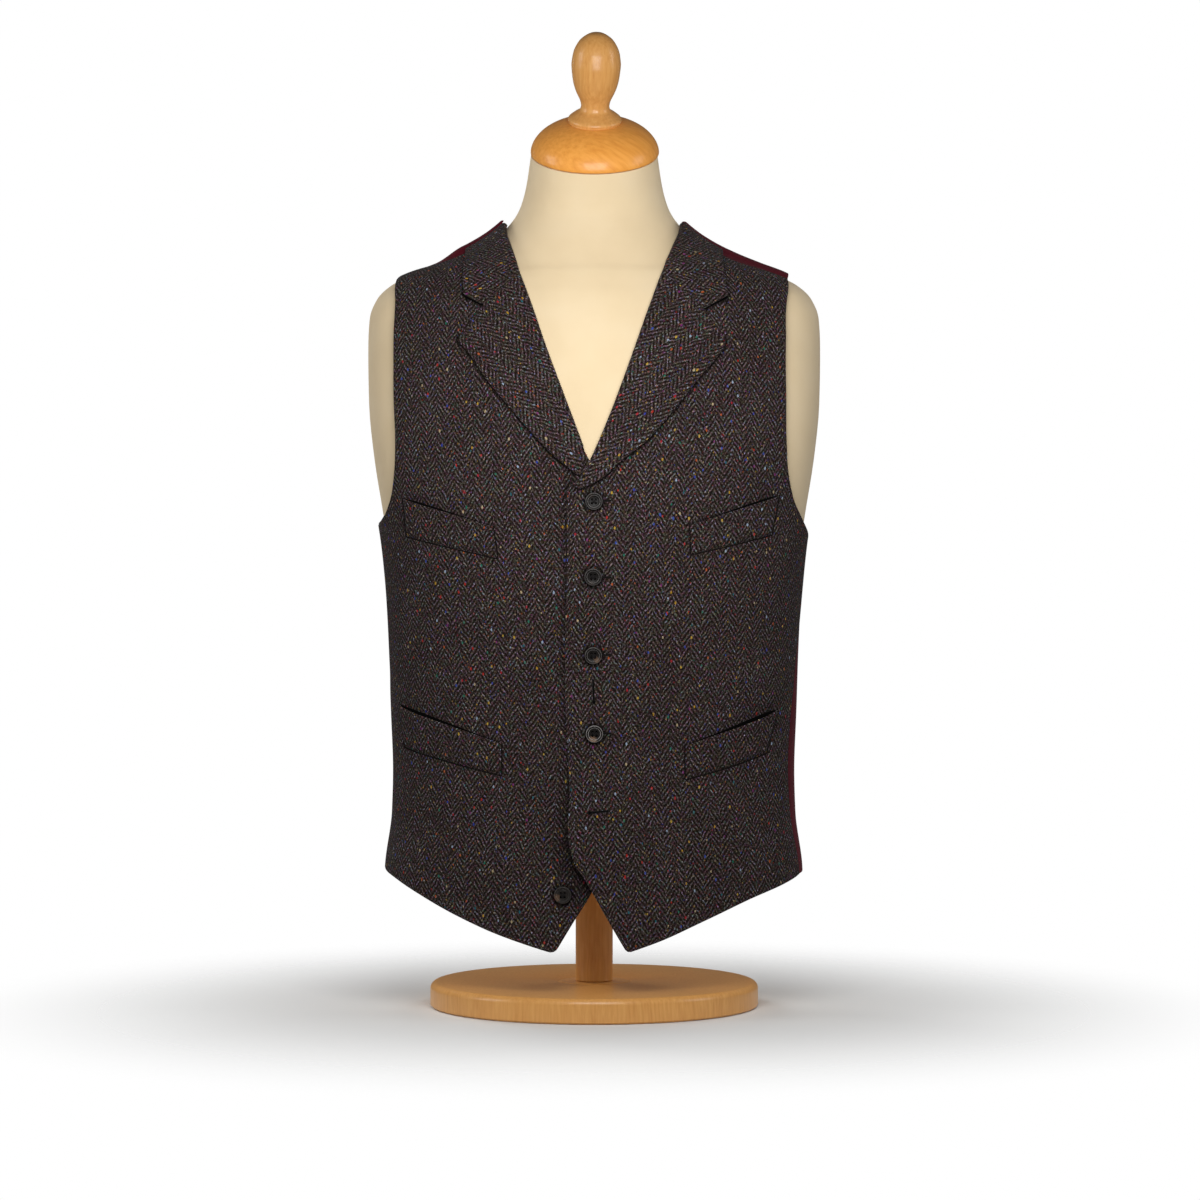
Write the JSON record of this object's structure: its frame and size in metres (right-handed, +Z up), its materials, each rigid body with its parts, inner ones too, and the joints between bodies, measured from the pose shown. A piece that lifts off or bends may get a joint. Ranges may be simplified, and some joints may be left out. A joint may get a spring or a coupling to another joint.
{
  "type": "suit waistcoat on a dress form",
  "caption": "Single-breasted tweed suit waistcoat with notched lapels, welt pockets and a satin back, standing on a limbless dress form with a turned neck cap and a round base.",
  "frame": {"origin": "centre of the underside of the round base, on the surface the form stands on", "axes": "+Z up; the fronts face -Y; +X is the viewer's right, the wearer's left"},
  "size_m": [0.4138, 0.3, 0.8814],
  "materials": {
    "tweed": "herringbone wool tweed with small coloured flecks, matt and slightly hairy",
    "satin": "burgundy lining satin with a soft sheen",
    "button": "dark horn, polished to a low gloss",
    "jersey": "cream cotton jersey stretched smooth",
    "wood": "turned beech with an orange-tan gloss varnish"
  },
  "bodies": {
    "root": {"front_left": "tweed", "front_right": "tweed", "back_left": "satin", "back_right": "satin", "lapel_left": "tweed", "lapel_right": "tweed", "collar_left": "tweed", "collar_right": "tweed", "welt_chest_left": "tweed", "welt_chest_right": "tweed", "welt_hip_left": "tweed", "welt_hip_right": "tweed", "button_1": "button", "button_2": "button", "button_3": "button", "button_4": "button", "button_5": "button", "button_6": "button", "form_torso": "jersey", "neck_cap": "wood", "finial": "wood", "pole": "wood", "base": "wood"}
  },
  "joints": []
}
